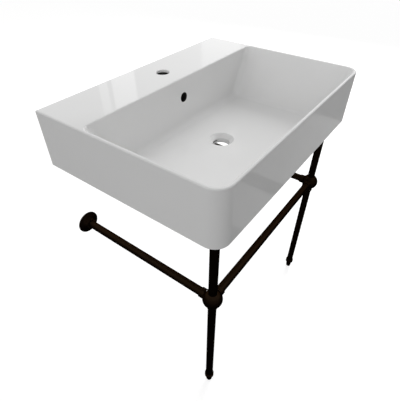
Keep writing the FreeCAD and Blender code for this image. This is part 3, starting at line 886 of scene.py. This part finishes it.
def spin_cap(side):
    node = f"leg_cap_{side}"
    base, radius, height = foot_of(node)
    shoulder = height - CAP_FLANGE_THICKNESS
    ribs_end = shoulder - CAP_RIBS_CLEAR
    outline = [(0, 0, 0), (CAP_PLUG_RADIUS, 0, CAP_ROUNDING)]
    outline += ribbed(CAP_PLUG_RADIUS, CAP_RIB_DEPTH, CAP_RIBS_START, ribs_end, CAP_RIBS)
    outline += [
        (CAP_PLUG_RADIUS, shoulder, 0), (radius, shoulder, CAP_FLANGE_EDGE),
        (radius, height, CAP_ROUNDING), (0, height, 0)]
    return finish_piece(turned(outline, base), f"{node}_ribbed", node)


def spin_cushion(side):
    node = f"leg_cushion_{side}"
    base, radius, height = foot_of(node)
    groove_end = height - CUSHION_GROOVE_CLEAR
    outline = [
        (0, CUSHION_SEAT_DEPTH, 0), (CUSHION_SEAT_RADIUS, CUSHION_SEAT_DEPTH, 0),
        (CUSHION_SEAT_RADIUS, 0, 0), (radius, 0, CUSHION_LOW_ROUNDING)]
    outline += ribbed(radius, CUSHION_GROOVE, CUSHION_GROOVE_START, groove_end, 1)
    outline += [(radius, height, CUSHION_TOP_ROUNDING), (0, height, 0)]
    return finish_piece(turned(outline, base), f"{node}_cup", node)


leg_tops = [spin(side) for spin in (spin_cap, spin_cushion) for side in SIDES]
print(f"spun {len(leg_tops)} pieces for the leg tops")

# %% [markdown]
# ### Levelling feet
#
# Each foot is a short stack: a collar on the end of the leg, a ribbed brass insert inside it, a tip
# that screws up and down, and a plastic glide that stays still on the floor while the tip turns. One
# outline could draw the whole stack, but these pieces move apart, so each is spun on its own.

# %% Spin the feet
COLLAR_SHOULDER = 5.0
COLLAR_SOCKET_RADIUS = 11.15
COLLAR_HOLE_RADIUS = 9.3
COLLAR_ROUNDING = 1.5
STEM_BORE_RADIUS = 4.0
STEM_SEAT = 18.0
PIN_HOLE_RADIUS = 3.05
PIN_HOLE_DEPTH = 7.05
PIN_RADIUS = 3.0
GLIDE_DISC = 2.95
GLIDE_LOW_ROUNDING = 0.8
GLIDE_TOP_EDGE = 0.3
PIN_ROUNDING = 0.5
TIP_LOW_ROUNDING = 0.8
TIP_TOP_ROUNDING = 0.5
INSERT_RIBS = 5
INSERT_RIB_DEPTH = 0.5
INSERT_PLAIN_END = 1
INSERT_EDGE = 0.4


def spin_collar(side):
    node = f"foot_collar_{side}"
    base, radius, height = foot_of(node)
    outline = [
        (COLLAR_HOLE_RADIUS, 0, 0), (radius, 0, COLLAR_ROUNDING), (radius, height, COLLAR_ROUNDING),
        (COLLAR_SOCKET_RADIUS, height, 0), (COLLAR_SOCKET_RADIUS, COLLAR_SHOULDER, 0),
        (COLLAR_HOLE_RADIUS, COLLAR_SHOULDER, 0)]
    return finish_piece(turned(outline, base), f"{node}_turned", node)


def spin_insert(side):
    node = f"foot_insert_{side}"
    base, radius, height = foot_of(node)
    ribs_end = height - INSERT_PLAIN_END
    outline = [(STEM_BORE_RADIUS, 0, 0), (radius, 0, INSERT_EDGE)]
    outline += ribbed(radius, INSERT_RIB_DEPTH, INSERT_PLAIN_END, ribs_end, INSERT_RIBS)
    outline += [(radius, height, INSERT_EDGE), (STEM_BORE_RADIUS, height, 0)]
    return finish_piece(turned(outline, base), f"{node}_ribbed", node)


def spin_tip(side):
    node = f"foot_tip_{side}"
    base, radius, height = foot_of(node)
    outline = [
        (0, PIN_HOLE_DEPTH, 0), (PIN_HOLE_RADIUS, PIN_HOLE_DEPTH, 0), (PIN_HOLE_RADIUS, 0, 0),
        (radius, 0, TIP_LOW_ROUNDING), (radius, height, TIP_TOP_ROUNDING),
        (STEM_BORE_RADIUS, height, 0),
        (STEM_BORE_RADIUS, height - STEM_SEAT, 0), (0, height - STEM_SEAT, 0)]
    return finish_piece(turned(outline, base), f"{node}_turned", node)


def spin_glide(side):
    node = f"foot_glide_{side}"
    base, radius, height = foot_of(node)
    outline = [
        (0, 0, 0), (radius, 0, GLIDE_LOW_ROUNDING), (radius, GLIDE_DISC, GLIDE_TOP_EDGE),
        (PIN_RADIUS, GLIDE_DISC, 0), (PIN_RADIUS, height, PIN_ROUNDING), (0, height, 0)]
    return finish_piece(turned(outline, base), f"{node}_moulded", node)


foot_spins = (spin_collar, spin_insert, spin_tip, spin_glide)
feet = [spin(side) for spin in foot_spins for side in SIDES]
print(f"spun {len(feet)} pieces for the feet")

# %% [markdown]
# ### Threaded stems
#
# The foot's height is set by a threaded stem. Rings stacked up it would look like a thread from far
# away. A spin that also climbs by one pitch in each turn makes a true one: the end of one turn meets
# the start of the next, so merging doubles joins them. The spin starts below the stem and ends above
# it, and two cuts give it flat ends.

# %% Spin the threads
THREAD_PITCH = 1.25
THREAD_DEPTH = 0.65
THREAD_STEPS = 32


def cut_level(shape, height, side):
    """Cut a shape at a height, throw away what lies beyond on one side and close the cut."""
    whole = shape.verts[:] + shape.edges[:] + shape.faces[:]
    bmesh.ops.bisect_plane(shape, geom=whole, plane_co=(0, 0, height), plane_no=(0, 0, side),
                           clear_outer=True)
    rim = [edge for edge in shape.edges if edge.is_boundary and all(
        math.isclose(vertex.co.z, height, abs_tol=MERGE_DISTANCE) for vertex in edge.verts)]
    bmesh.ops.contextual_create(shape, geom=rim)


def spin_thread(side):
    node = f"foot_stem_{side}"
    base, radius, height = foot_of(node)
    pitch = THREAD_PITCH * MM
    turns = math.ceil(height / THREAD_PITCH) + 2
    shape = bmesh.new()
    root = (radius - THREAD_DEPTH) * MM
    section = ((root, -pitch), (radius * MM, -pitch / 2), (root, 0.0))
    points = [shape.verts.new((out, 0, rise)) for out, rise in section]
    edges = [shape.edges.new(pair) for pair in zip(points, points[1:])]
    bmesh.ops.spin(shape, geom=points + edges, cent=(0, 0, 0), axis=UP, angle=2 * math.pi * turns,
                   steps=THREAD_STEPS * turns, dvec=(0, 0, pitch / THREAD_STEPS))
    bmesh.ops.remove_doubles(shape, verts=shape.verts, dist=MERGE_DISTANCE)
    cut_level(shape, 0.0, -1)
    cut_level(shape, height * MM, 1)
    bmesh.ops.dissolve_degenerate(shape, dist=MERGE_DISTANCE, edges=shape.edges)
    bmesh.ops.recalc_face_normals(shape, faces=shape.faces)
    bmesh.ops.translate(shape, verts=shape.verts, vec=base)
    return finish_piece(shape, f"{node}_threaded", node)


stems = [spin_thread(side) for side in SIDES]
print(f"cut {len(stems)} threads of {THREAD_PITCH} mm pitch")

# %% [markdown]
# ### Rubber rings
#
# A rubber ring inside each wall flange holds it where it is pushed along the rail. A torus would be
# quick, but it would not fill the ring's groove. So the solid's square section is spun, and rounding
# its four corners gives the ring its real, nearly round one.

# %% Spin the rings
RING_WALL = 2.0
RING_ROUNDING = 0.9


def spin_ring(side):
    node = f"flange_ring_{side}"
    low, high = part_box(node)
    radius = (high.x - low.x) / 2 / MM
    width = (high.y - low.y) / MM
    bore = radius - RING_WALL
    middle = (low + high) / 2
    section = ((bore, 0), (radius, 0), (radius, width), (bore, width))
    outline = [(out, rise, RING_ROUNDING) for out, rise in section]
    shape = turned(outline, Vector((middle.x, low.y, middle.z)), TO_WALL)
    return finish_piece(shape, f"{node}_round", node)


rings = [spin_ring(side) for side in SIDES]
print(f"spun {len(rings)} rubber rings")

# %% [markdown]
# ### Set screws
#
# Small set screws lock the tubes in the ball joints and on the wall plates. Each is a short round bar
# with a hexagon socket for a key. The socket could be cut with a Boolean, but bridging is cleaner: a
# ring and a hexagon are bridged for the face, the hexagon is drawn down for the socket and the ring
# for the bar. They all go into one piece, as the solid has them.

# %% Shape one set screw
SCREW_RADIUS = 1.95
SCREW_STEPS = 24
SCREW_EDGE = 0.2
KEY_SIDES = 6
KEY_RADIUS = 1.1
KEY_DEPTH = 1.0


def draw_down(shape, ring, depth):
    """Draw a ring of open edges down and close its end."""
    rim = [edge for edge in shape.edges
           if edge.is_boundary and all(vertex in ring for vertex in edge.verts)]
    drawn = bmesh.ops.extrude_edge_only(shape, edges=rim)["geom"]
    points = [item for item in drawn if isinstance(item, bmesh.types.BMVert)]
    bmesh.ops.translate(shape, verts=points, vec=(0, 0, -depth))
    edge_loop = [item for item in drawn
                 if isinstance(item, bmesh.types.BMEdge) and item.is_boundary]
    bmesh.ops.contextual_create(shape, geom=edge_loop)


def make_screw(tip, direction, length):
    """A set screw from its tip, in mm from the origin, along a direction."""
    shape = bmesh.new()
    face = Matrix.Translation((0, 0, length * MM))
    ring, socket = [
        bmesh.ops.create_circle(shape, segments=sides, radius=radius * MM, matrix=face)["verts"]
        for sides, radius in ((SCREW_STEPS, SCREW_RADIUS), (KEY_SIDES, KEY_RADIUS))]
    bmesh.ops.bridge_loops(shape, edges=shape.edges[:])
    draw_down(shape, socket, KEY_DEPTH * MM)
    draw_down(shape, ring, length * MM)
    bmesh.ops.recalc_face_normals(shape, faces=shape.faces)
    for height in (0.0, length * MM):
        edges = ring_edges(shape, SCREW_RADIUS * MM, height)
        bmesh.ops.bevel(shape, geom=edges, offset=SCREW_EDGE * MM, offset_type="OFFSET",
                        segments=1, profile=ROUND_PROFILE, affect="EDGES", material=-1)
    turn = UP.rotation_difference(direction).to_matrix().to_4x4()
    bmesh.ops.transform(shape, matrix=Matrix.Translation(tip * MM) @ turn, verts=shape.verts)
    return shape


print(f"a set screw is {2 * SCREW_RADIUS} mm thick")

# %% Place the set screws
TUBE_SEAT = 11.15
COLLAR_RADIUS = 13.4
COLLAR_REACH = 30.0
BALL_RADIUS = 25.4
BALL_SCREW_RISE = 18.0
PLATE_SCREW_LENGTH = 6.0


def joint_screws(side):
    """The five screws of one side: three in the collars, one in the ball, one in the wall plate."""
    leg_low, leg_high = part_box(f"upper_leg_{side}")
    rail_low, rail_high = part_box("front_rail")
    centre = (leg_low + leg_high) / 2 / MM
    centre.z = (rail_low.z + rail_high.z) / 2 / MM
    inwards = Vector((-math.copysign(1, centre.x), 0, 0))
    collar_length = COLLAR_RADIUS - TUBE_SEAT
    ball_length = math.sqrt(BALL_RADIUS ** 2 - BALL_SCREW_RISE ** 2) - TUBE_SEAT
    collars = ((inwards, TO_WALL), (TO_WALL, -UP), (-UP, TO_WALL))
    screws = [(centre + arm * COLLAR_REACH + out * TUBE_SEAT, out, collar_length)
              for arm, out in collars]
    screws.append((centre + UP * BALL_SCREW_RISE + TO_WALL * TUBE_SEAT, TO_WALL, ball_length))
    tube_radius = (rail_high.z - rail_low.z) / 2 / MM
    plate_tip = Vector((centre.x, -HOLE_FROM_WALL, centre.z - tube_radius + PLATE_SCREW_LENGTH))
    screws.append((plate_tip, -UP, PLATE_SCREW_LENGTH))
    return screws


def gather(shapes):
    """Join shapes into one."""
    whole = bmesh.new()
    for shape in shapes:
        part = bpy.data.meshes.new("one_screw")
        shape.to_mesh(part)
        shape.free()
        whole.from_mesh(part)
        bpy.data.meshes.remove(part)
    return whole


screws = gather([make_screw(*screw) for side in SIDES for screw in joint_screws(side)])
screw_piece = finish_piece(screws, "hexagon_set_screws", "grub_screws")
print(f"made the set screws with {len(screw_piece.data.polygons)} faces")
